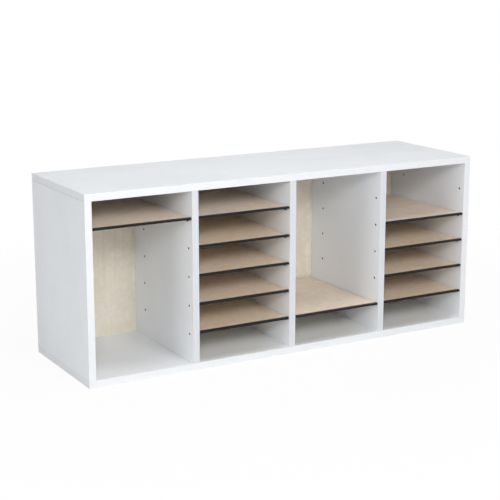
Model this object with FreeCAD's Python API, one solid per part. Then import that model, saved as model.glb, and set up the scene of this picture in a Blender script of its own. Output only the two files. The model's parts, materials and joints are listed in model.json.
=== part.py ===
import FreeCAD, Part
import math
import os

# Desktop literature organizer: upright boards between a top and a bottom board make four columns,
# and loose hardboard shelves rest on push-in pins in rows of drilled holes.
# Lengths are in millimetres. The origin is the middle of the underside, with X to the right,
# Y to the rear and Z up, so the open front faces -Y.

os.makedirs("parts", exist_ok=True)

# Carcass of coated particleboard
overall_width = 1000.125
overall_depth = 298.45
overall_height = 415.925
board_thickness = 15.875
edge_band_thickness = 0.5
column_count = 4
compartments_per_column = 6

# Hardboard back, let into a rebate around the rear of the carcass
back_thickness = 3.175
back_rebate_width = 8.0
back_edge_clearance = 0.4

# Loose hardboard shelves, by column from the left and by level from below
shelf_levels = {1: [5], 2: [1, 2, 3, 4, 5], 3: [1], 4: [1, 2, 3, 4]}
shelf_thickness = 3.175
shelf_side_clearance = 0.8
shelf_front_setback = 1.5
shelf_rear_clearance = 6.6

# Plastic moulding that grips the front edge of each shelf
moulding_wall = 0.8
moulding_lip_depth = 8.0
moulding_front_radius = 0.4
moulding_lip_radius = 0.25

# Shelf pins and their holes, in one front row and one rear row on each wall
pin_hole_diameter = 5.0
pin_hole_web = 1.875
pin_fit_clearance = 0.05
pin_stem_end_space = 0.2
pin_head_diameter = 7.0
pin_head_length = 5.0
pin_head_flat_depth = 1.0
pin_tip_radius = 0.6
front_pin_row_inset = 17.5
rear_pin_row_inset = 55.5

# Dowels in the joints between upright and horizontal boards
dowel_diameter = 8.0
dowel_length = 30.0
dowel_chamfer = 0.8
dowel_fit_clearance = 0.05
dowel_end_space = 0.5
dowel_cover = 4.875
dowel_row_inset = 45.0

# Flat-headed nails that hold the back
nail_shank_diameter = 1.4
nail_shank_length = 18.0
nail_head_diameter = 3.2
nail_head_thickness = 0.5
nail_head_recess = 0.1
nail_fit_clearance = 0.05
nail_point_space = 0.3
nail_row_inset = 45.0
nail_spacing = 115.0
divider_nail_spacing = 150.0

# Main planes
left = -overall_width / 2
right = overall_width / 2
front = -overall_depth / 2
rear = overall_depth / 2
floor_top = board_thickness
roof_bottom = overall_height - board_thickness
board_front = front + edge_band_thickness
back_rear = rear - nail_head_thickness - nail_head_recess
back_front = back_rear - back_thickness

# Columns, levels and pin places
column_width = (overall_width - (column_count + 1) * board_thickness) / column_count
level_pitch = (roof_bottom - floor_top) / compartments_per_column
pin_rows = [front + front_pin_row_inset, rear - rear_pin_row_inset]
pin_heights = [floor_top + level_pitch * level for level in range(1, compartments_per_column)]
pin_hole_depth = (board_thickness - pin_hole_web) / 2
pin_seat_height = pin_head_diameter / 2 - pin_head_flat_depth

# Dowel and nail places
dowel_rows = [front + dowel_row_inset, 0.0, rear - dowel_row_inset]
dowel_depth_in_face = board_thickness - dowel_cover
dowel_depth_in_end = dowel_length + 2 * dowel_end_space - dowel_depth_in_face
nail_inset = back_rebate_width / 2

along_x = FreeCAD.Vector(1, 0, 0)
along_y = FreeCAD.Vector(0, 1, 0)
along_z = FreeCAD.Vector(0, 0, 1)


def block(x_range, y_range, z_range):
    """A rectangular solid between two planes on each axis."""
    size = [high - low for low, high in (x_range, y_range, z_range)]
    corner = FreeCAD.Vector(x_range[0], y_range[0], z_range[0])
    return Part.makeBox(size[0], size[1], size[2], corner)


def rod(diameter, length, start, direction):
    """A round solid that runs from a point along a direction."""
    return Part.makeCylinder(diameter / 2, length, start, direction)


def evenly_spaced(first, last, widest_pitch):
    """Places from the first to the last at one pitch, which is the widest or a little less."""
    intervals = math.ceil((last - first) / widest_pitch)
    pitch = (last - first) / intervals
    return [first + pitch * index for index in range(intervals + 1)]


def upright_left_face(index):
    """The left face of an upright board, counted from 0 at the left side panel."""
    return left + index * (column_width + board_thickness)


def upright_centre(index):
    return upright_left_face(index) + board_thickness / 2


def column_walls(column):
    """The inner faces of the two uprights beside a column, counted from 1 at the left."""
    wall_right = upright_left_face(column)
    return wall_right - column_width, wall_right


def upright_name(index):
    if index == 0:
        return "left_side_panel"
    if index == column_count:
        return "right_side_panel"
    return f"divider_{index}"


def pin_holes(face_x, into_wall):
    """Both rows of pin holes in one face of an upright board."""
    holes = []
    for row_y in pin_rows:
        for height in pin_heights:
            mouth = FreeCAD.Vector(face_x, row_y, height)
            holes.append(rod(pin_hole_diameter, pin_hole_depth, mouth, along_x * into_wall))
    return holes


def dowel_centres():
    """The joint plane point of every dowel, and the way from it into the horizontal board."""
    centres = []
    for index in range(column_count + 1):
        for row_y in dowel_rows:
            centres.append((FreeCAD.Vector(upright_centre(index), row_y, floor_top), -1))
            centres.append((FreeCAD.Vector(upright_centre(index), row_y, roof_bottom), 1))
    return centres


def dowel_holes(side, upright_index=None):
    """The dowel holes in one horizontal board, or in one end of an upright board."""
    holes = []
    for centre, into_board in dowel_centres():
        if into_board != side:
            continue
        if upright_index is None:
            holes.append(rod(dowel_diameter, dowel_depth_in_face, centre, along_z * side))
        elif abs(centre.x - upright_centre(upright_index)) < board_thickness / 2:
            holes.append(rod(dowel_diameter, dowel_depth_in_end, centre, along_z * -side))
    return holes


def dowel(centre, into_board):
    """A dowel with chamfered ends, centred in the length of its two holes."""
    start = centre + along_z * into_board * (dowel_depth_in_face - dowel_end_space)
    diameter = dowel_diameter - 2 * dowel_fit_clearance
    solid = rod(diameter, dowel_length, start, along_z * -into_board)
    rims = [edge for edge in solid.Edges if edge.Curve.TypeId == "Part::GeomCircle"]
    return solid.makeChamfer(dowel_chamfer, rims)


def nail_places():
    """Where the nails pass the rear face of the back: along its four sides and up each divider."""
    places = []
    row_ends = (left + nail_row_inset, right - nail_row_inset)
    for x in evenly_spaced(row_ends[0], row_ends[1], nail_spacing):
        places.append((x, floor_top - nail_inset))
        places.append((x, roof_bottom + nail_inset))
    side_ends = (floor_top + nail_row_inset, roof_bottom - nail_row_inset)
    for z in evenly_spaced(side_ends[0], side_ends[1], nail_spacing):
        places.append((upright_left_face(0) + board_thickness - nail_inset, z))
        places.append((upright_left_face(column_count) + nail_inset, z))
    for z in evenly_spaced(side_ends[0], side_ends[1], divider_nail_spacing):
        for index in range(1, column_count):
            places.append((upright_centre(index), z))
    return places


def nail_holes():
    """The hole that each nail makes through the back and into the board behind it."""
    diameter = nail_shank_diameter + 2 * nail_fit_clearance
    length = nail_shank_length + nail_point_space
    return [rod(diameter, length, FreeCAD.Vector(x, back_rear, z), -along_y) for x, z in nail_places()]


def nail(x, z):
    seat = FreeCAD.Vector(x, back_rear, z)
    shank = rod(nail_shank_diameter, nail_shank_length, seat, -along_y)
    head = rod(nail_head_diameter, nail_head_thickness, seat, along_y)
    return shank.fuse(head)


def horizontal_board(side):
    """The bottom board for side -1 or the top board for side 1, inside its edge bands."""
    z_range = (0.0, floor_top) if side < 0 else (roof_bottom, overall_height)
    x_range = (left + edge_band_thickness, right - edge_band_thickness)
    board = block(x_range, (board_front, rear), z_range)
    rebate_x = board_thickness - back_rebate_width
    rebate_z = (floor_top - back_rebate_width, floor_top) if side < 0 else (
        roof_bottom, roof_bottom + back_rebate_width)
    rebate = block((left + rebate_x, right - rebate_x), (back_front, rear), rebate_z)
    return board.cut([rebate] + dowel_holes(side) + nail_holes())


def upright_board(index):
    """A side panel, with a rebate for the back, or a divider, which stops at the back."""
    x_left = upright_left_face(index)
    x_right = x_left + board_thickness
    is_left_side = index == 0
    is_right_side = index == column_count
    y_rear = rear if is_left_side or is_right_side else back_front
    board = block((x_left, x_right), (board_front, y_rear), (floor_top, roof_bottom))
    cuts = dowel_holes(-1, index) + dowel_holes(1, index) + nail_holes()
    if is_left_side:
        x_range = (x_right - back_rebate_width, x_right)
        cuts.append(block(x_range, (back_front, rear), (floor_top, roof_bottom)))
    else:
        cuts += pin_holes(x_left, 1)
    if is_right_side:
        x_range = (x_left, x_left + back_rebate_width)
        cuts.append(block(x_range, (back_front, rear), (floor_top, roof_bottom)))
    else:
        cuts += pin_holes(x_right, -1)
    return board.cut(cuts)


def back_panel():
    reach = back_rebate_width - back_edge_clearance
    x_range = (left + board_thickness - reach, right - board_thickness + reach)
    z_range = (floor_top - reach, roof_bottom + reach)
    return block(x_range, (back_front, back_rear), z_range).cut(nail_holes())


def edge_bands():
    """The bands on all front edges and on the ends of the horizontal boards, by name."""
    band_y = (front, board_front)
    levels = {"bottom": (0.0, floor_top), "top": (roof_bottom, overall_height)}
    ends = {"left": (left, left + edge_band_thickness), "right": (right - edge_band_thickness, right)}
    bands = {}
    for level, z_range in levels.items():
        bands[f"edge_band_{level}_front"] = block((left, right), band_y, z_range)
        for end, x_range in ends.items():
            bands[f"edge_band_{level}_{end}_end"] = block(x_range, (board_front, rear), z_range)
    for index in range(column_count + 1):
        x_left = upright_left_face(index)
        x_range = (x_left, x_left + board_thickness)
        bands[f"edge_band_{upright_name(index)}"] = block(x_range, band_y, (floor_top, roof_bottom))
    return bands


def shelf_space(column, level):
    """The X range of a shelf and the height of its underside."""
    wall_left, wall_right = column_walls(column)
    x_range = (wall_left + shelf_side_clearance, wall_right - shelf_side_clearance)
    return x_range, pin_heights[level - 1] + pin_seat_height


def shelf(column, level):
    x_range, underside = shelf_space(column, level)
    y_front = front + shelf_front_setback + moulding_wall
    y_rear = back_front - shelf_rear_clearance
    return block(x_range, (y_front, y_rear), (underside, underside + shelf_thickness))


def label_moulding(column, level):
    """A channel, open to the rear, round the front edge of a shelf."""
    x_range, underside = shelf_space(column, level)
    y_face = front + shelf_front_setback
    y_web = y_face + moulding_wall
    y_lip = y_face + moulding_lip_depth
    top_side = underside + shelf_thickness
    outline = [
        (y_face, underside - moulding_wall),
        (y_lip, underside - moulding_wall),
        (y_lip, underside),
        (y_web, underside),
        (y_web, top_side),
        (y_lip, top_side),
        (y_lip, top_side + moulding_wall),
        (y_face, top_side + moulding_wall),
    ]
    points = [FreeCAD.Vector(x_range[0], y, z) for y, z in outline]
    profile = Part.Face(Part.makePolygon(points + points[:1]))
    channel = profile.extrude(along_x * (x_range[1] - x_range[0]))
    channel = channel.makeFillet(moulding_front_radius, outer_long_edges(channel, y_face, underside))
    return channel.makeFillet(moulding_lip_radius, outer_long_edges(channel, y_lip, underside))


def outer_long_edges(channel, y, underside):
    """The two outermost edges of a channel that run along it at one depth."""
    heights = (underside - moulding_wall, underside + shelf_thickness + moulding_wall)
    found = []
    for edge in channel.Edges:
        box = edge.BoundBox
        runs_along = box.XLength > pin_head_length and box.YLength < moulding_wall / 10
        at_height = any(abs(box.ZMin - z) < moulding_wall / 10 for z in heights)
        if runs_along and at_height and abs(box.YMin - y) < moulding_wall / 10:
            found.append(edge)
    return found


def shelf_pin(face_x, row_y, height, into_wall):
    """A pin with its stem in the wall and a round head whose flat top carries the shelf."""
    seat = FreeCAD.Vector(face_x, row_y, height)
    stem_diameter = pin_hole_diameter - 2 * pin_fit_clearance
    stem_length = pin_hole_depth - pin_stem_end_space
    stem = rod(stem_diameter, stem_length, seat, along_x * into_wall)
    head = rod(pin_head_diameter, pin_head_length, seat, along_x * -into_wall)
    tip_x = face_x - into_wall * pin_head_length
    tip_rim = [edge for edge in head.Edges if abs(edge.BoundBox.Center.x - tip_x) < pin_tip_radius]
    head = head.makeFillet(pin_tip_radius, tip_rim)
    half = pin_head_diameter
    above = (height + pin_seat_height, height + pin_head_diameter)
    x_range = sorted((face_x, tip_x))
    head = head.cut(block(x_range, (row_y - half, row_y + half), above))
    return stem.fuse(head)


def shelf_pins(column, level):
    """The four pins under one shelf, two in each wall of its column."""
    wall_left, wall_right = column_walls(column)
    walls = ((wall_left, -1), (wall_right, 1))
    height = pin_heights[level - 1]
    pins = [shelf_pin(face_x, row_y, height, way) for face_x, way in walls for row_y in pin_rows]
    return Part.makeCompound(pins)


def export(name, shape):
    shape.exportStep(f"parts/{name}.step")


export("bottom_board", horizontal_board(-1))
export("top_board", horizontal_board(1))
for index in range(column_count + 1):
    export(upright_name(index), upright_board(index))
export("back_panel", back_panel())
for name, band in edge_bands().items():
    export(name, band)
export("wood_dowels", Part.makeCompound([dowel(centre, way) for centre, way in dowel_centres()]))
export("back_nails", Part.makeCompound([nail(x, z) for x, z in nail_places()]))

for column, levels in shelf_levels.items():
    for level in levels:
        place = f"column{column}_level{level}"
        export(f"shelf_{place}", shelf(column, level))
        export(f"label_moulding_{place}", label_moulding(column, level))
        export(f"shelf_pins_{place}", shelf_pins(column, level))
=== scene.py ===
import json
import math

import bmesh
import bpy
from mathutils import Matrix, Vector

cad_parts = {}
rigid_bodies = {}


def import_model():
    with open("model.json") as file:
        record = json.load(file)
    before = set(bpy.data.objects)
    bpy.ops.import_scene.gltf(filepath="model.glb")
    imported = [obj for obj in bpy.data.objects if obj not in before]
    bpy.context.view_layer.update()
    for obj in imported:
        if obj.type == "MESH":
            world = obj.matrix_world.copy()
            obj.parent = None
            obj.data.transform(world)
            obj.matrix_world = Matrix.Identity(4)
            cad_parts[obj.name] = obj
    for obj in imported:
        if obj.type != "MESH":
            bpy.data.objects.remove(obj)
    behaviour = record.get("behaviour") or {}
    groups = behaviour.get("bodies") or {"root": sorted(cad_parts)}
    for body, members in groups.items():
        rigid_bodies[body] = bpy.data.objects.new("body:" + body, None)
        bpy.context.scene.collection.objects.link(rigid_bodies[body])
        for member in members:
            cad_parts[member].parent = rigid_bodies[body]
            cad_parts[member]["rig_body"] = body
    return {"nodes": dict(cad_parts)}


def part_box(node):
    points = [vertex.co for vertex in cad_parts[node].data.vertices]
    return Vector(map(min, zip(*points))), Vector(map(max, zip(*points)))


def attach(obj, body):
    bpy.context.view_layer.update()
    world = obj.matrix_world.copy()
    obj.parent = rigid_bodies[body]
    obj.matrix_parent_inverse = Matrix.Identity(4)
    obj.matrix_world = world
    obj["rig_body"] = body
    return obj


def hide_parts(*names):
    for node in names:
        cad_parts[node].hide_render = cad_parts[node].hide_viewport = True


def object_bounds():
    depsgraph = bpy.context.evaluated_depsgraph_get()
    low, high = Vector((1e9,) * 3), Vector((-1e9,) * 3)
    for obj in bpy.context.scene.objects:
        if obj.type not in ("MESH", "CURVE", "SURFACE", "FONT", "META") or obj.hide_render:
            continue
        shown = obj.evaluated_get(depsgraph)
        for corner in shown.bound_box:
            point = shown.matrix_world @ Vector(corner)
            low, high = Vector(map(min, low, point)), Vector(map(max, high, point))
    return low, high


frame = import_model()
cad_low, cad_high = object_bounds()

# The looks of a white literature organizer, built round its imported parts.
# Lengths are in metres. X runs to the right, Y to the rear and Z up, and the open front faces -Y.

MM = 0.001
X, Y, Z = range(3)
QUARTER = math.radians(90)

# Arrises, as they are eased or trimmed on the real pieces. The chamfers of the hole rims, of the joints at
# the outer sides and of the joint with the back carry painted shade
BOARD_ARRIS = 0.15 * MM
BOARD_END_ARRIS = 0.15 * MM
BACK_JOINT_ARRIS = 0.6 * MM
BAND_FACE_RADIUS = 0.35 * MM
BAND_JOINT_GROOVE = 0.1 * MM
PIN_HOLE_ARRIS = 0.3 * MM
HARDBOARD_ARRIS = 0.2 * MM
MOULDING_END_ARRIS = 0.1 * MM
PIN_ARRIS = 0.15 * MM
NAIL_ARRIS = 0.12 * MM

# Steps across an arris, by how it is worked
CHAMFERED = 1
EASED = 2
ROUNDED = 3

# Particleboard, from a face inwards: its skin, where its fine chips end and where coarse ones begin
BOARD_SKIN = 0.22 * MM
FINE_CHIPS_END = 2.0 * MM
COARSE_CHIPS_START = 4.5 * MM

# Half a board's thickness, and the plane of the back's front face, as the parts were packed
HALF_BOARD = (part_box("top_board")[1].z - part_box("top_board")[0].z) / 2
BACK_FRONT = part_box("back_panel")[0].y

# Fluted dowels
DOWEL_FLUTES = 20
SIDES_PER_FLUTE = 4
DOWEL_FLUTE_DEPTH = 0.35 * MM
DOWEL_END_CHAMFER = 0.8 * MM

# Working limits for picking faces and edges
MERGE_DISTANCE = 0.001 * MM
ON_PLANE = 0.02 * MM
FLAT_ANGLE = math.radians(0.5)
SHARP_ANGLE = math.radians(35)
CORNER_ANGLE = math.radians(60)
LONG_EDGE = 4 * MM
HOLE_FACE_AREA = 20 * MM * MM

# How much of a face's normal lies along a direction that it faces squarely, or leans to
SQUARELY = 0.9
LEANING = 0.2

# Places of the finishes on a piece. The third is painted shade, for the pin holes and the narrow joints
COATED, SAWN, PAINTED_SHADE = range(3)
SMOOTH_FACE, SCREENED_FACE, SAWN_EDGE = range(3)


def tone(red, green, blue):
    """A colour from its three display values, 0 to 255, as the shaders take it, by the sRGB curve."""
    channels = []
    for value in (red, green, blue):
        share = value / 255
        channels.append(share / 12.92 if share <= 0.04045 else ((share + 0.055) / 1.055) ** 2.4)
    return (*channels, 1.0)


# Colours
MELAMINE_WHITE = tone(240, 243, 247)
MELAMINE_SOILED = tone(229, 233, 238)
BAND_WHITE = tone(234, 236, 239)
BAND_SOILED = tone(226, 229, 232)
DIVIDER_BAND_WHITE = tone(215, 218, 222)
DIVIDER_BAND_SOILED = tone(208, 211, 215)
SHELF_TAN = tone(228, 209, 189)
SHELF_PALE = tone(248, 234, 219)
SHELF_FLECK = tone(176, 146, 118)
SHELF_UNDER = tone(226, 212, 186)
SHELF_UNDER_PALE = tone(238, 226, 204)
SHELF_UNDER_FLECK = tone(168, 142, 108)
SAWN_BROWN = tone(132, 104, 74)
SAWN_PALE = tone(158, 128, 94)
SAWN_FLECK = tone(86, 62, 42)
BACK_CREAM = tone(224, 214, 196)
BACK_PALE = tone(242, 235, 222)
BACK_FLECK = tone(192, 172, 146)
REAR_BROWN = tone(150, 116, 82)
REAR_PALE = tone(172, 140, 104)
REAR_FLECK = tone(98, 70, 46)
CORE_STRAW = tone(196, 166, 122)
CORE_PALE = tone(222, 198, 156)
CORE_GAP_SHADE = tone(128, 92, 56)
# Painted shade, near black with a paler mottle, for the pin holes, their rims and the narrow joints
SHADE_PAINT_PALE = tone(52, 48, 44)
SHADE_PAINT_DARK = tone(24, 22, 20)
MOULDING_BLACK = tone(22, 22, 25)
MOULDING_SCUFFED = tone(36, 36, 40)
PIN_BLACK = tone(22, 22, 24)
PIN_SCUFFED = tone(36, 36, 38)
BEECH = tone(205, 172, 128)
BEECH_DARK = tone(170, 130, 88)
STEEL = tone(186, 184, 180)
STEEL_DULL = tone(120, 116, 110)

# Roughness of each finish, a pair from its shiniest to its dullest places
MELAMINE_ROUGHNESS = (0.36, 0.46)
BAND_ROUGHNESS = (0.3, 0.4)
MOULDING_ROUGHNESS = (0.34, 0.46)
PIN_ROUGHNESS = (0.4, 0.52)
STEEL_ROUGHNESS = (0.28, 0.5)
SHELF_TOP_ROUGHNESS = (0.44, 0.56)
SHELF_UNDER_ROUGHNESS = (0.69, 0.81)
SAWN_EDGE_ROUGHNESS = (0.79, 0.91)
BACK_ROUGHNESS = (0.49, 0.61)
REAR_ROUGHNESS = (0.72, 0.84)
CORE_ROUGHNESS = 0.85
HOLE_ROUGHNESS = 0.9
BEECH_ROUGHNESS = 0.6
PLASTIC_SPECULAR = 0.2

# How far each pattern takes its finish from its first colour to its second, where 1 is all the way
MELAMINE_MARKS = 0.25
MELAMINE_GRAIN = 0.12
BAND_MARKS = 0.3
HARDBOARD_PATCHES = 0.25
HARDBOARD_CLOUDS = 0.4
HARDBOARD_FELT = 0.4
HARDBOARD_FLECKS = 0.3
HARDBOARD_SPECKS = 0.6
BACK_SPECKS = 0.25
ROLLER_STREAKS = 0.2
CORE_GAPS = 0.7
PLASTIC_MARKS = 0.35
BEECH_GRAIN = 0.6
BEECH_FLECKS = 0.5

# Spans of noise that are stretched to their full contrast, and the soft rim of a fleck
WIDE_SPAN = (0.3, 0.7)
FELT_SPAN = (0.32, 0.68)
NARROW_SPAN = (0.35, 0.65)
BEECH_SPAN = (0.35, 0.7)
MARK_SPAN = (0.42, 0.68)
FLECK_RIM = (0.12, 0.3)

# The screen on the rough side of hardboard: its pitch, and its share of that side's relief
SCREEN_PITCH = 1.6 * MM
SCREEN_RELIEF = 0.35

# The streaks of the roller on the back, and the sunken gaps between the chips of sawn board
ROLLER_STREAK_WIDTH = 5 * MM
GAP_RELIEF = 0.6

# Inside the shared effects, as shares of a pattern's own scale or size
COARSE_PEBBLES = 0.35
SWIRL_SCALE = 0.4
SWIRL_REACH = 3.0
FLECK_CELLS = 0.5

# How lines and grain are drawn out along X and along Z
LINE_STRETCH = (0.004, 1.0, 1.0)
GRAIN_STRETCH = (1.0, 1.0, 0.12)


# Shader node building

def add(tree, kind, inputs=None, **settings):
    """A new node in a tree, with its settings and its unlinked inputs filled in."""
    made = tree.nodes.new(kind)
    for name, value in settings.items():
        setattr(made, name, value)
    for name, value in (inputs or {}).items():
        if isinstance(value, bpy.types.NodeSocket):
            tree.links.new(value, made.inputs[name])
        else:
            made.inputs[name].default_value = value
    return made


def math_node(tree, operation, first, second=0.0, clamp=False):
    """The result of one sum on two sockets or numbers."""
    return add(tree, "ShaderNodeMath", {0: first, 1: second}, operation=operation, use_clamp=clamp).outputs[0]


def times(tree, first, second):
    return math_node(tree, "MULTIPLY", first, second)


def plus(tree, first, second, clamp=False):
    return math_node(tree, "ADD", first, second, clamp)


def remap(tree, value, low, high, out_low=0.0, out_high=1.0):
    """A value stretched from one range to another, and kept inside it."""
    made = add(tree, "ShaderNodeMapRange", {
        "Value": value, "From Min": low, "From Max": high, "To Min": out_low, "To Max": out_high})
    return made.outputs["Result"]


def between(tree, share, least, most):
    """A value between two others, by a share from 0 to 1."""
    return remap(tree, share, 0.0, 1.0, least, most)


def blend_colour(tree, share, first, second):
    """A colour between two, by a share from 0 to 1, on the sockets that the node has for colours."""
    factor, first_colour, second_colour, result = 0, 6, 7, 2
    made = add(tree, "ShaderNodeMix", {factor: share, first_colour: first, second_colour: second},
               data_type="RGBA")
    return made.outputs[result]


def new_effect(name, sizes, outputs):
    """A node group that takes a vector and some sizes. It gives the tree, and the group's two ends."""
    tree = bpy.data.node_groups.new(name, "ShaderNodeTree")
    tree.interface.new_socket(name="Vector", in_out="INPUT", socket_type="NodeSocketVector")
    for size in sizes:
        tree.interface.new_socket(name=size, in_out="INPUT", socket_type="NodeSocketFloat")
    for output in outputs:
        tree.interface.new_socket(name=output, in_out="OUTPUT", socket_type="NodeSocketFloat")
    return tree, add(tree, "NodeGroupInput").outputs, add(tree, "NodeGroupOutput").inputs


def pattern_scale(tree, size):
    """The texture scale that gives features of one size."""
    return math_node(tree, "DIVIDE", 1.0, size)


def make_handling_marks():
    """Broad soft patches where a surface has been wiped and handled."""
    tree, given, put = new_effect("handling_marks", ["Patch Size", "Streak"], ["Mask"])
    squeeze = add(tree, "ShaderNodeCombineXYZ", {"X": 1.0, "Y": given["Streak"], "Z": 1.0})
    place = add(tree, "ShaderNodeVectorMath", {0: given["Vector"], 1: squeeze.outputs[0]},
                operation="MULTIPLY")
    noise = add(tree, "ShaderNodeTexNoise", {
        "Vector": place.outputs[0], "Scale": pattern_scale(tree, given["Patch Size"]),
        "Detail": 4.0, "Roughness": 0.6, "Distortion": 0.6})
    mask = remap(tree, noise.outputs["Fac"], *MARK_SPAN)
    tree.links.new(mask, put["Mask"])
    return tree


def make_pebble_skin():
    """The fine pebbled emboss of a pressed or rolled plastic face."""
    tree, given, put = new_effect("pebble_skin", ["Pebble Size"], ["Height"])
    scale = pattern_scale(tree, given["Pebble Size"])
    cells = add(tree, "ShaderNodeTexVoronoi", {
        "Vector": given["Vector"], "Scale": scale, "Smoothness": 0.8}, feature="SMOOTH_F1")
    coarse = add(tree, "ShaderNodeTexNoise", {
        "Vector": given["Vector"], "Scale": times(tree, scale, COARSE_PEBBLES),
        "Detail": 2.0, "Roughness": 0.5})
    height = plus(tree, cells.outputs["Distance"], coarse.outputs["Fac"])
    tree.links.new(times(tree, height, 0.5), put["Height"])
    return tree


def make_fibre_flecks():
    """Scattered flecks, such as shives in hardboard or pores in wood, and the felt between them."""
    tree, given, put = new_effect("fibre_flecks", ["Fleck Size", "Spread"], ["Flecks", "Felt"])
    scale = pattern_scale(tree, given["Fleck Size"])
    swirl = add(tree, "ShaderNodeTexNoise", {
        "Vector": given["Vector"], "Scale": times(tree, scale, SWIRL_SCALE), "Detail": 2.0})
    turned = add(tree, "ShaderNodeVectorMath", {
        0: swirl.outputs["Color"], "Scale": times(tree, given["Fleck Size"], SWIRL_REACH)},
        operation="SCALE")
    place = add(tree, "ShaderNodeVectorMath", {0: given["Vector"], 1: turned.outputs[0]},
                operation="ADD").outputs[0]
    cells = add(tree, "ShaderNodeTexVoronoi", {
        "Vector": place, "Scale": times(tree, scale, FLECK_CELLS), "Randomness": 1.0})
    round_spot = remap(tree, cells.outputs["Distance"], *FLECK_RIM, 1.0, 0.0)
    pick = add(tree, "ShaderNodeSeparateColor", {"Color": cells.outputs["Color"]})
    chosen = math_node(tree, "LESS_THAN", pick.outputs["Red"], given["Spread"])
    felt = add(tree, "ShaderNodeTexNoise", {
        "Vector": place, "Scale": scale, "Detail": 5.0, "Roughness": 0.7})
    tree.links.new(times(tree, round_spot, chosen), put["Flecks"])
    tree.links.new(felt.outputs["Fac"], put["Felt"])
    return tree


def make_drawn_lines():
    """Fine lines along X, as a die or a roller leaves them."""
    tree, given, put = new_effect("drawn_lines", ["Line Width"], ["Height"])
    stretch = add(tree, "ShaderNodeVectorMath", {0: given["Vector"], 1: LINE_STRETCH},
                  operation="MULTIPLY")
    noise = add(tree, "ShaderNodeTexNoise", {
        "Vector": stretch.outputs[0], "Scale": pattern_scale(tree, given["Line Width"]),
        "Detail": 3.0, "Roughness": 0.65})
    tree.links.new(noise.outputs["Fac"], put["Height"])
    return tree


HANDLING_MARKS = make_handling_marks()
PEBBLE_SKIN = make_pebble_skin()
FIBRE_FLECKS = make_fibre_flecks()
DRAWN_LINES = make_drawn_lines()


def effect(tree, group, **inputs):
    """One of the shared effects placed in a material, with its own values."""
    named = {name.replace("_", " "): value for name, value in inputs.items()}
    return add(tree, "ShaderNodeGroup", named, node_tree=group).outputs


def new_finish(name):
    """A new material, with its tree, its shader and the piece's own coordinates."""
    material = bpy.data.materials.new(name)
    material.use_nodes = True
    tree = material.node_tree
    shader = tree.nodes["Principled BSDF"]
    place = add(tree, "ShaderNodeTexCoord").outputs["Object"]
    return material, tree, shader, place


def turned_place(tree, place, turn):
    """The piece's coordinates turned about the axes, so that lines along X run another way."""
    return add(tree, "ShaderNodeMapping", {"Vector": place, "Rotation": turn}).outputs[0]


def raise_surface(tree, shader, height, depth, strength):
    """Feeds a height, in units of a depth in metres, to the shader's normal."""
    bump = add(tree, "ShaderNodeBump", {"Height": height, "Distance": depth, "Strength": strength})
    tree.links.new(bump.outputs["Normal"], shader.inputs["Normal"])


def make_white_melamine():
    """Pressed melamine paper: white, faintly pebbled, with a soft and slightly uneven gloss."""
    material, tree, shader, place = new_finish("white_melamine")
    marks = effect(tree, HANDLING_MARKS, Vector=place, Patch_Size=160 * MM, Streak=1.6)["Mask"]
    grain = effect(tree, HANDLING_MARKS, Vector=place, Patch_Size=6 * MM, Streak=1.0)["Mask"]
    pebbles = effect(tree, PEBBLE_SKIN, Vector=place, Pebble_Size=1.1 * MM)["Height"]
    share = plus(tree, times(tree, marks, MELAMINE_MARKS), times(tree, grain, MELAMINE_GRAIN), clamp=True)
    colour = blend_colour(tree, share, MELAMINE_WHITE, MELAMINE_SOILED)
    tree.links.new(colour, shader.inputs["Base Color"])
    tree.links.new(between(tree, marks, *MELAMINE_ROUGHNESS), shader.inputs["Roughness"])
    raise_surface(tree, shader, pebbles, depth=0.05 * MM, strength=0.5)
    return material


def make_white_edge_band(name, turn, white, soiled):
    """Rolled edge band: smoother than the boards, with fine lines along its length."""
    material, tree, shader, place = new_finish(name)
    along = turned_place(tree, place, turn)
    lines = effect(tree, DRAWN_LINES, Vector=along, Line_Width=0.6 * MM)["Height"]
    marks = effect(tree, HANDLING_MARKS, Vector=along, Patch_Size=50 * MM, Streak=3.0)["Mask"]
    share = times(tree, marks, BAND_MARKS)
    tree.links.new(blend_colour(tree, share, white, soiled), shader.inputs["Base Color"])
    tree.links.new(remap(tree, lines, *WIDE_SPAN, *BAND_ROUGHNESS), shader.inputs["Roughness"])
    raise_surface(tree, shader, lines, depth=0.02 * MM, strength=0.6)
    return material


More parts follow.
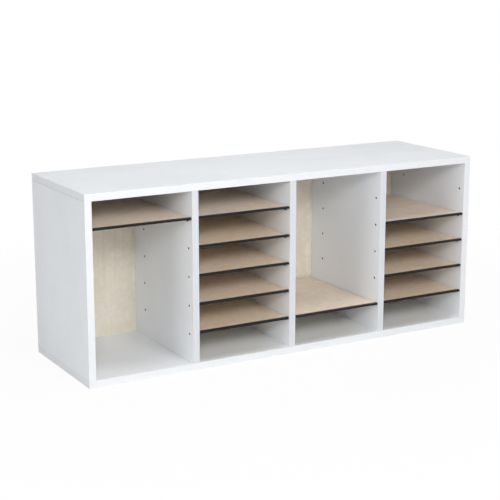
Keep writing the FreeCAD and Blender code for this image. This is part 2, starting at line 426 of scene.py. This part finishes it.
def make_hardboard(name, colours, roughness, specked=HARDBOARD_SPECKS, screened=False, streaked=False):
    """Pressed wood fibre, in its body, pale and fleck colours: mottled, felted and flecked.

    A screen marks the rough side, and a roller that lays colour on leaves faint upright streaks."""
    body, pale, fleck = colours
    material, tree, shader, place = new_finish(name)
    broad = effect(tree, HANDLING_MARKS, Vector=place, Patch_Size=45 * MM, Streak=1.3)["Mask"]
    clouds = effect(tree, HANDLING_MARKS, Vector=place, Patch_Size=13 * MM, Streak=1.0)["Mask"]
    fine = effect(tree, FIBRE_FLECKS, Vector=place, Fleck_Size=1.2 * MM, Spread=0.3)
    specks = effect(tree, FIBRE_FLECKS, Vector=place, Fleck_Size=2.6 * MM, Spread=0.12)
    felt = remap(tree, fine["Felt"], *FELT_SPAN)
    patches = plus(tree, times(tree, broad, HARDBOARD_PATCHES), times(tree, clouds, HARDBOARD_CLOUDS))
    share = plus(tree, patches, times(tree, felt, HARDBOARD_FELT), clamp=True)
    if streaked:
        upright = turned_place(tree, place, (0.0, QUARTER, 0.0))
        streaks = effect(tree, DRAWN_LINES, Vector=upright, Line_Width=ROLLER_STREAK_WIDTH)["Height"]
        rolled = remap(tree, streaks, *NARROW_SPAN, -ROLLER_STREAKS, ROLLER_STREAKS)
        share = plus(tree, share, rolled, clamp=True)
    ground = blend_colour(tree, share, body, pale)
    flecks = times(tree, fine["Flecks"], HARDBOARD_FLECKS)
    dark = math_node(tree, "MAXIMUM", flecks, times(tree, specks["Flecks"], specked))
    tree.links.new(blend_colour(tree, dark, ground, fleck), shader.inputs["Base Color"])
    tree.links.new(remap(tree, fine["Felt"], *WIDE_SPAN, *roughness), shader.inputs["Roughness"])
    if screened:
        height = plus(tree, times(tree, screen_weave(tree, place), SCREEN_RELIEF), fine["Felt"])
        raise_surface(tree, shader, height, depth=0.2 * MM, strength=0.6)
    else:
        raise_surface(tree, shader, fine["Felt"], depth=0.06 * MM, strength=0.5)
    return material


def screen_weave(tree, place):
    """The regular dimples that a wire screen presses into a face that X runs along."""
    split = add(tree, "ShaderNodeSeparateXYZ", {"Vector": place})
    waves = [math_node(tree, "SINE", times(tree, split.outputs[axis], 2 * math.pi / SCREEN_PITCH))
             for axis in ("X", "Y", "Z")]
    return times(tree, waves[X], plus(tree, waves[Y], waves[Z]))


def make_particleboard_core():
    """Sawn particleboard: fine near both faces and coarse in the middle, under a white skin, with painted
    shade in the gaps between the coarse chips.
    """
    material, tree, shader, place = new_finish("particleboard_core")
    across = add(tree, "ShaderNodeAttribute", attribute_name="across_board").outputs["Fac"]
    depth = math_node(tree, "SUBTRACT", HALF_BOARD, math_node(tree, "ABSOLUTE", across))
    coarse = effect(tree, FIBRE_FLECKS, Vector=place, Fleck_Size=2.4 * MM, Spread=0.75)
    fine = effect(tree, FIBRE_FLECKS, Vector=place, Fleck_Size=0.7 * MM, Spread=0.5)
    middle = remap(tree, depth, FINE_CHIPS_END, COARSE_CHIPS_START)
    chips = add(tree, "ShaderNodeMix", {"Factor": middle, 2: fine["Felt"], 3: coarse["Felt"]}).outputs[0]
    gaps = times(tree, coarse["Flecks"], times(tree, middle, CORE_GAPS))
    ground = blend_colour(tree, remap(tree, chips, *WIDE_SPAN), CORE_STRAW, CORE_PALE)
    # The gaps between the coarse chips are painted darker, as painted shade in them
    sawn = blend_colour(tree, gaps, ground, CORE_GAP_SHADE)
    under_skin = math_node(tree, "LESS_THAN", depth, BOARD_SKIN)
    colour = blend_colour(tree, under_skin, sawn, MELAMINE_WHITE)
    tree.links.new(colour, shader.inputs["Base Color"])
    shader.inputs["Roughness"].default_value = CORE_ROUGHNESS
    height = math_node(tree, "SUBTRACT", chips, times(tree, gaps, GAP_RELIEF))
    raise_surface(tree, shader, height, depth=0.4 * MM, strength=0.7)
    return material


def make_painted_shade_core():
    """Painted shade: near black with a paler mottle, laid on the walls and rims of the pin holes and on the
    narrow joints at the sides and at the back.
    """
    material, tree, shader, place = new_finish("painted_shade_core")
    shade_mottle = effect(tree, FIBRE_FLECKS, Vector=place, Fleck_Size=0.8 * MM, Spread=0.5)["Felt"]
    colour = blend_colour(tree, remap(tree, shade_mottle, *NARROW_SPAN), SHADE_PAINT_DARK, SHADE_PAINT_PALE)
    tree.links.new(colour, shader.inputs["Base Color"])
    shader.inputs["Roughness"].default_value = HOLE_ROUGHNESS
    raise_surface(tree, shader, shade_mottle, depth=0.2 * MM, strength=0.7)
    return material


def make_black_plastic(name, black, scuffed, roughness):
    """Black plastic with a soft gloss, given with its tree so that its relief can be added."""
    material, tree, shader, place = new_finish(name)
    marks = effect(tree, HANDLING_MARKS, Vector=place, Patch_Size=20 * MM, Streak=2.0)["Mask"]
    share = times(tree, marks, PLASTIC_MARKS)
    tree.links.new(blend_colour(tree, share, black, scuffed), shader.inputs["Base Color"])
    tree.links.new(between(tree, marks, *roughness), shader.inputs["Roughness"])
    shader.inputs["Specular IOR Level"].default_value = PLASTIC_SPECULAR
    return material, tree, shader, place


def make_moulding_plastic():
    """Extruded black plastic with die lines along X."""
    material, tree, shader, place = make_black_plastic(
        "black_moulding_finish", MOULDING_BLACK, MOULDING_SCUFFED, MOULDING_ROUGHNESS)
    lines = effect(tree, DRAWN_LINES, Vector=place, Line_Width=0.5 * MM)["Height"]
    raise_surface(tree, shader, lines, depth=0.03 * MM, strength=0.6)
    return material


def make_pin_plastic():
    """Injected black plastic with a fine pebbled skin."""
    material, tree, shader, place = make_black_plastic(
        "pin_plastic_finish", PIN_BLACK, PIN_SCUFFED, PIN_ROUGHNESS)
    skin = effect(tree, PEBBLE_SKIN, Vector=place, Pebble_Size=0.4 * MM)["Height"]
    raise_surface(tree, shader, skin, depth=0.02 * MM, strength=0.6)
    return material


def make_beech():
    """Beech with its grain along Z and short dark ray flecks."""
    material, tree, shader, place = new_finish("beech")
    along = add(tree, "ShaderNodeMapping", {"Vector": place, "Scale": GRAIN_STRETCH}).outputs[0]
    grain = effect(tree, FIBRE_FLECKS, Vector=along, Fleck_Size=0.5 * MM, Spread=0.6)
    streaks = remap(tree, grain["Felt"], *BEECH_SPAN, 0.0, BEECH_GRAIN)
    share = plus(tree, streaks, times(tree, grain["Flecks"], BEECH_FLECKS), clamp=True)
    tree.links.new(blend_colour(tree, share, BEECH, BEECH_DARK), shader.inputs["Base Color"])
    shader.inputs["Roughness"].default_value = BEECH_ROUGHNESS
    raise_surface(tree, shader, grain["Felt"], depth=0.05 * MM, strength=0.6)
    return material


def make_nail_steel():
    """Bright drawn steel with dull patches."""
    material, tree, shader, place = new_finish("nail_steel_finish")
    marks = effect(tree, HANDLING_MARKS, Vector=place, Patch_Size=1.5 * MM, Streak=1.0)["Mask"]
    tree.links.new(blend_colour(tree, marks, STEEL, STEEL_DULL), shader.inputs["Base Color"])
    tree.links.new(between(tree, marks, *STEEL_ROUGHNESS), shader.inputs["Roughness"])
    shader.inputs["Metallic"].default_value = 1.0
    pits = effect(tree, PEBBLE_SKIN, Vector=place, Pebble_Size=0.3 * MM)["Height"]
    raise_surface(tree, shader, pits, depth=0.01 * MM, strength=0.6)
    return material


ALONG_X = (0.0, 0.0, 0.0)
ALONG_Y = (0.0, 0.0, QUARTER)
ALONG_Z = (0.0, QUARTER, 0.0)

white_melamine = make_white_melamine()
particleboard_core = make_particleboard_core()
painted_shade_core = make_painted_shade_core()
band_along_x = make_white_edge_band("white_edge_band_along_x", ALONG_X, BAND_WHITE, BAND_SOILED)
band_along_y = make_white_edge_band("white_edge_band_along_y", ALONG_Y, BAND_WHITE, BAND_SOILED)
band_along_z = make_white_edge_band("white_edge_band_along_z", ALONG_Z, BAND_WHITE, BAND_SOILED)
divider_band = make_white_edge_band(
    "divider_edge_band_along_z", ALONG_Z, DIVIDER_BAND_WHITE, DIVIDER_BAND_SOILED)
shelf_top = make_hardboard(
    "shelf_hardboard_smooth", (SHELF_TAN, SHELF_PALE, SHELF_FLECK), SHELF_TOP_ROUGHNESS)
shelf_rough = make_hardboard(
    "shelf_hardboard_screened", (SHELF_UNDER, SHELF_UNDER_PALE, SHELF_UNDER_FLECK),
    SHELF_UNDER_ROUGHNESS, screened=True)
hardboard_edge = make_hardboard(
    "hardboard_sawn_edge", (SAWN_BROWN, SAWN_PALE, SAWN_FLECK), SAWN_EDGE_ROUGHNESS)
back_cream = make_hardboard(
    "back_hardboard_cream", (BACK_CREAM, BACK_PALE, BACK_FLECK), BACK_ROUGHNESS,
    specked=BACK_SPECKS, streaked=True)
back_rough = make_hardboard(
    "back_hardboard_rear", (REAR_BROWN, REAR_PALE, REAR_FLECK), REAR_ROUGHNESS, screened=True)
moulding_plastic = make_moulding_plastic()
pin_plastic = make_pin_plastic()
beech = make_beech()
nail_steel = make_nail_steel()


# Working the pieces

def worked_copy(node):
    """A node's mesh with its doubles merged and its flat faces in one piece, ready to be worked."""
    work = bmesh.new()
    work.from_mesh(frame["nodes"][node].data)
    bmesh.ops.remove_doubles(work, verts=work.verts, dist=MERGE_DISTANCE)
    bmesh.ops.dissolve_limit(work, angle_limit=FLAT_ANGLE, verts=work.verts, edges=work.edges)
    return work


def on_plane(edge, axis, *places):
    """Whether an edge lies in one of the planes at these places along an axis."""
    return any(all(abs(vert.co[axis] - place) < ON_PLANE for vert in edge.verts) for place in places)


def sharp_edges(work):
    """The edges where two faces meet at a corner that stands out."""
    return [e for e in work.edges if e.is_manifold and e.is_convex and e.calc_face_angle() > CORNER_ANGLE]


def long_sharp_edges(work):
    return [e for e in sharp_edges(work) if e.calc_length() > LONG_EDGE]


def ease(work, edges, width, steps):
    """Works an arris along each edge, and gives the faces that this makes."""
    made = bmesh.ops.bevel(work, geom=edges, offset=width, segments=steps, profile=0.5,
                           affect="EDGES", material=-1, clamp_overlap=True)
    return made["faces"]


def finish_piece(work, name, node, materials):
    """Turns worked mesh into a piece that stands for a node, and rides on the node's body."""
    for face in work.faces:
        face.smooth = True
    for edge in work.edges:
        edge.smooth = edge.is_manifold and edge.calc_face_angle() < SHARP_ANGLE
    mesh = bpy.data.meshes.new(name)
    work.to_mesh(mesh)
    work.free()
    for material in materials:
        mesh.materials.append(material)
    piece = bpy.data.objects.new(name, mesh)
    bpy.context.scene.collection.objects.link(piece)
    flatten = piece.modifiers.new("flat_faces", "WEIGHTED_NORMAL")
    flatten.keep_sharp = True
    flatten.weight = 100
    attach(piece, frame["nodes"][node]["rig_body"])
    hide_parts(node)


def sort_board_faces(work, node, thin_axis):
    """Tells a board's two coated faces, the walls of its drilled holes and its sawn faces apart. The hole
    walls take painted shade.
    """
    low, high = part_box(node)
    for face in work.faces:
        centre = face.calc_center_median()
        inside = all(low[axis] + ON_PLANE < centre[axis] < high[axis] - ON_PLANE for axis in (X, Y, Z))
        if min(abs(centre[thin_axis] - place[thin_axis]) for place in (low, high)) < ON_PLANE:
            face.material_index = COATED
        elif inside and face.calc_area() < HOLE_FACE_AREA:
            face.material_index = PAINTED_SHADE
        else:
            face.material_index = SAWN


def work_upright_arrises(work, node):
    """Eases the rims of the pin holes, the joints above and below and the joint with the back, and paints
    shade on the hole rims, on the joints at the outer sides and on the joint with the back.
    """
    low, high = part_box(node)
    rims = [e for e in sharp_edges(work) if e.calc_length() < LONG_EDGE and on_plane(e, X, low.x, high.x)]
    for face in ease(work, rims, PIN_HOLE_ARRIS, CHAMFERED):
        face.material_index = PAINTED_SHADE
    ends = [e for e in long_sharp_edges(work) if on_plane(e, Z, low.z, high.z)]
    for face in ease(work, ends, BOARD_END_ARRIS, CHAMFERED):
        side = face.calc_center_median().x
        at_side = min(side - cad_low.x, cad_high.x - side) < BOARD_END_ARRIS
        # Painted shade on a joint at an outer side, plain coating on the inner joints
        face.material_index = PAINTED_SHADE if at_side else COATED
    at_back = [e for e in sharp_edges(work) if on_plane(e, Y, BACK_FRONT) and on_plane(e, X, low.x, high.x)]
    for face in ease(work, at_back, BACK_JOINT_ARRIS, CHAMFERED):
        face.material_index = PAINTED_SHADE


def make_board(node, thin_axis):
    """A coated board: skin on its two faces, sawn core elsewhere, eased arrises, and drilled holes with
    painted shade on their walls.
    """
    work = worked_copy(node)
    sort_board_faces(work, node, thin_axis)
    if thin_axis == X:
        work_upright_arrises(work, node)
    for face in ease(work, long_sharp_edges(work), BOARD_ARRIS, EASED):
        face.material_index = SAWN if face.normal.y > LEANING else COATED
    low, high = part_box(node)
    middle = (low[thin_axis] + high[thin_axis]) / 2
    across = work.verts.layers.float.new("across_board")
    for vert in work.verts:
        vert[across] = vert.co[thin_axis] - middle
    finishes = [white_melamine, particleboard_core, painted_shade_core]
    finish_piece(work, f"{node}_dressed", node, finishes)


def make_edge_band(node):
    """A band with its outer arrises trimmed round and a fine groove where it meets the board."""
    work = worked_copy(node)
    low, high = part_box(node)
    sizes = high - low
    long_axis = max((X, Y, Z), key=lambda axis: sizes[axis])
    thin_axis = min((X, Y, Z), key=lambda axis: sizes[axis])
    centre = (cad_low + cad_high) / 2
    outer = low if (low + high)[thin_axis] / 2 < centre[thin_axis] else high
    face_edges = [e for e in sharp_edges(work) if on_plane(e, thin_axis, outer[thin_axis])]
    ease(work, face_edges, BAND_FACE_RADIUS, ROUNDED)
    ease(work, long_sharp_edges(work), BAND_JOINT_GROOVE, CHAMFERED)
    upright = divider_band if "divider" in node else band_along_z
    finish = (band_along_x, band_along_y, upright)[long_axis]
    finish_piece(work, f"{node}_dressed", node, [finish])


def sort_hardboard_faces(work, smooth_side):
    """Tells the smooth face, the screened face and the sawn edges apart."""
    for face in work.faces:
        turn = face.normal.dot(smooth_side)
        if turn > SQUARELY:
            face.material_index = SMOOTH_FACE
        elif turn < -SQUARELY:
            face.material_index = SCREENED_FACE
        else:
            face.material_index = SAWN_EDGE


def make_back():
    """The hardboard back: cream inside, with a bare screened face to the rear and sawn edges."""
    work = worked_copy("back_panel")
    sort_hardboard_faces(work, Vector((0, -1, 0)))
    ease(work, long_sharp_edges(work), HARDBOARD_ARRIS, EASED)
    finishes = [back_cream, back_rough, hardboard_edge]
    finish_piece(work, "back_panel_dressed", "back_panel", finishes)


def make_shelf(node):
    """A hardboard shelf with its smooth side up, its screened side down and sawn edges."""
    work = worked_copy(node)
    sort_hardboard_faces(work, Vector((0, 0, 1)))
    ease(work, sharp_edges(work), HARDBOARD_ARRIS, EASED)
    finishes = [shelf_top, shelf_rough, hardboard_edge]
    finish_piece(work, f"{node}_dressed", node, finishes)


def make_moulding(node):
    """The black channel on a shelf's front edge, with its sawn ends eased."""
    work = worked_copy(node)
    low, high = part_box(node)
    ends = [e for e in sharp_edges(work) if on_plane(e, X, low.x, high.x)]
    ease(work, ends, MOULDING_END_ARRIS, CHAMFERED)
    finish_piece(work, f"{node}_dressed", node, [moulding_plastic])


def make_pins(node):
    """Four shelf pins, with the arrises of their seats and stems eased."""
    work = worked_copy(node)
    ease(work, sharp_edges(work), PIN_ARRIS, EASED)
    finish_piece(work, f"{node}_dressed", node, [pin_plastic])


def make_nails():
    """The nails of the back, with the rims of their heads eased."""
    work = worked_copy("back_nails")
    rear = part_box("back_nails")[1].y
    rims = [e for e in sharp_edges(work) if on_plane(e, Y, rear)]
    ease(work, rims, NAIL_ARRIS, EASED)
    finish_piece(work, "back_nails_dressed", "back_nails", [nail_steel])


def separate_solids(work):
    """The vertices of a mesh in groups, one for each solid that it holds."""
    groups = []
    left = set(work.verts)
    while left:
        found, todo = set(), [left.pop()]
        while todo:
            vert = todo.pop()
            found.add(vert)
            near = {edge.other_vert(vert) for edge in vert.link_edges} & left
            left -= near
            todo += near
        groups.append(found)
    return groups


def add_fluted_dowel(work, low, high):
    """One upright dowel that fills the box of a plain one, with a flute at every few of its sides."""
    radius = (high.x - low.x) / 2
    sides = DOWEL_FLUTES * SIDES_PER_FLUTE
    ring = bmesh.ops.create_circle(work, cap_ends=True, segments=sides, radius=radius)["verts"]
    for vert in ring[::SIDES_PER_FLUTE]:
        vert.co *= 1 - DOWEL_FLUTE_DEPTH / radius
    bmesh.ops.translate(work, verts=ring, vec=((low.x + high.x) / 2, (low.y + high.y) / 2, low.z))
    cap = ring[0].link_faces[0]
    grown = bmesh.ops.extrude_face_region(work, geom=[cap])["geom"]
    top = [item for item in grown if isinstance(item, bmesh.types.BMVert)]
    bmesh.ops.translate(work, verts=top, vec=(0, 0, high.z - low.z))


def make_dowels():
    """Fluted dowels in place of the plain ones, each on its own axis and at its own length."""
    plain = worked_copy("wood_dowels")
    work = bmesh.new()
    for solid in separate_solids(plain):
        low = Vector(min(vert.co[axis] for vert in solid) for axis in (X, Y, Z))
        high = Vector(max(vert.co[axis] for vert in solid) for axis in (X, Y, Z))
        add_fluted_dowel(work, low, high)
    plain.free()
    bmesh.ops.recalc_face_normals(work, faces=work.faces)
    rims = [e for e in sharp_edges(work) if abs(e.verts[0].co.z - e.verts[1].co.z) < ON_PLANE]
    ease(work, rims, DOWEL_END_CHAMFER, CHAMFERED)
    finish_piece(work, "wood_dowels_fluted", "wood_dowels", [beech])


for node in frame["nodes"]:
    if node.startswith("edge_band_"):
        make_edge_band(node)
    elif node in ("bottom_board", "top_board"):
        make_board(node, Z)
    elif node.startswith("divider_") or node.endswith("side_panel"):
        make_board(node, X)
    elif node.startswith("shelf_pins_"):
        make_pins(node)
    elif node.startswith("shelf_"):
        make_shelf(node)
    elif node.startswith("label_moulding_"):
        make_moulding(node)
make_back()
make_nails()
make_dowels()


# Stage, light and camera

WHITE = (1.0, 1.0, 1.0, 1.0)
FLOOR_REACH = 40.0
FLOOR_GREY = (0.88, 0.88, 0.88, 1.0)

# The floor looks nearly white as far as the shadow reaches, and is fully white where that has faded
FLOOR_WHITE_NEAR = 0.94
SHADOW_REACH = 0.5
SHADOW_FADE = 1.4

# The world's strength as light, and the lamps by their place, width and watts
FILL_LIGHT = 0.11
LAMP_AIM = (0.0, 0.0, 0.2)
LAMPS = {
    "left_softbox": {"place": (-4.0, -1.0, 1.2), "size": 1.6, "power": 38.0},
    "camera_side_softbox": {"place": (-1.5, -2.56, 1.5), "size": 0.6, "power": 27.3},
    "front_high_softbox": {"place": (0.5, -3.5, 2.4), "size": 1.6, "power": 28.8},
    "front_softbox": {"place": (0.0, -3.0, 1.3), "size": 1.2, "power": 20.4},
    "top_softbox": {"place": (0.0, -0.4, 2.2), "size": 0.8, "power": 16.0},
    "rear_right_softbox": {"place": (2.2, 2.2, 0.2), "size": 0.4, "power": 50.0},
}

# The camera as it was fitted to the photograph, with its angles in degrees and its lens in millimetres
CAMERA_PLACE = (-1.49998, -2.56416, 0.90452)
CAMERA_HEADING = 29.900
CAMERA_DIP = 13.118
CAMERA_LENS = 93.475


def seen_directly(tree):
    """1 for what the camera sees itself or in a reflection, and else 0."""
    path = add(tree, "ShaderNodeLightPath").outputs
    mirrored = math_node(tree, "MAXIMUM", path["Is Glossy Ray"], path["Is Transmission Ray"])
    return math_node(tree, "MAXIMUM", path["Is Camera Ray"], mirrored)


def make_floor_finish():
    """White to the eye and matt to the light, so that a faint shadow stays near the object."""
    material = bpy.data.materials.new("studio_floor")
    material.use_nodes = True
    tree = material.node_tree
    tree.nodes.clear()
    matt = add(tree, "ShaderNodeBsdfDiffuse", {"Color": FLOOR_GREY})
    white = add(tree, "ShaderNodeEmission", {"Color": WHITE, "Strength": 1.0})
    place = add(tree, "ShaderNodeTexCoord").outputs["Object"]
    away = add(tree, "ShaderNodeVectorMath", {0: place}, operation="LENGTH").outputs["Value"]
    paleness = remap(tree, away, SHADOW_REACH, SHADOW_FADE, FLOOR_WHITE_NEAR, 1.0)
    share = times(tree, seen_directly(tree), paleness)
    mix = add(tree, "ShaderNodeMixShader", {0: share, 1: matt.outputs[0], 2: white.outputs[0]})
    add(tree, "ShaderNodeOutputMaterial", {"Surface": mix.outputs[0]})
    return material


def make_floor():
    work = bmesh.new()
    bmesh.ops.create_grid(work, x_segments=1, y_segments=1, size=FLOOR_REACH)
    mesh = bpy.data.meshes.new("studio_floor")
    work.to_mesh(mesh)
    work.free()
    mesh.materials.append(make_floor_finish())
    floor = bpy.data.objects.new("studio_floor", mesh)
    bpy.context.scene.collection.objects.link(floor)


def make_world():
    """Dim all-round light that still looks white behind the object and in reflections."""
    world = bpy.data.worlds.new("studio_world")
    world.use_nodes = True
    tree = world.node_tree
    background = tree.nodes["Background"]
    background.inputs["Color"].default_value = WHITE
    tree.links.new(between(tree, seen_directly(tree), FILL_LIGHT, 1.0), background.inputs["Strength"])
    bpy.context.scene.world = world


def make_lamp(name, place, size, power):
    """A square softbox turned to the object, and hidden from the camera."""
    data = bpy.data.lights.new(name, "AREA")
    data.shape = "SQUARE"
    data.size = size
    data.energy = power
    lamp = bpy.data.objects.new(name, data)
    lamp.location = place
    lamp.rotation_euler = (Vector(LAMP_AIM) - Vector(place)).to_track_quat("-Z", "Y").to_euler()
    lamp.visible_camera = False
    bpy.context.scene.collection.objects.link(lamp)


def make_camera():
    """The camera, level from side to side, turned to its heading and tipped down by its dip."""
    data = bpy.data.cameras.new("camera")
    data.lens = CAMERA_LENS
    camera = bpy.data.objects.new("camera", data)
    camera.location = CAMERA_PLACE
    camera.rotation_euler = (math.radians(90 - CAMERA_DIP), 0.0, math.radians(-CAMERA_HEADING))
    bpy.context.scene.collection.objects.link(camera)
    bpy.context.scene.camera = camera


make_floor()
make_world()
for lamp_name, lamp_facts in LAMPS.items():
    make_lamp(lamp_name, **lamp_facts)
make_camera()
bpy.context.scene.view_settings.view_transform = "Standard"
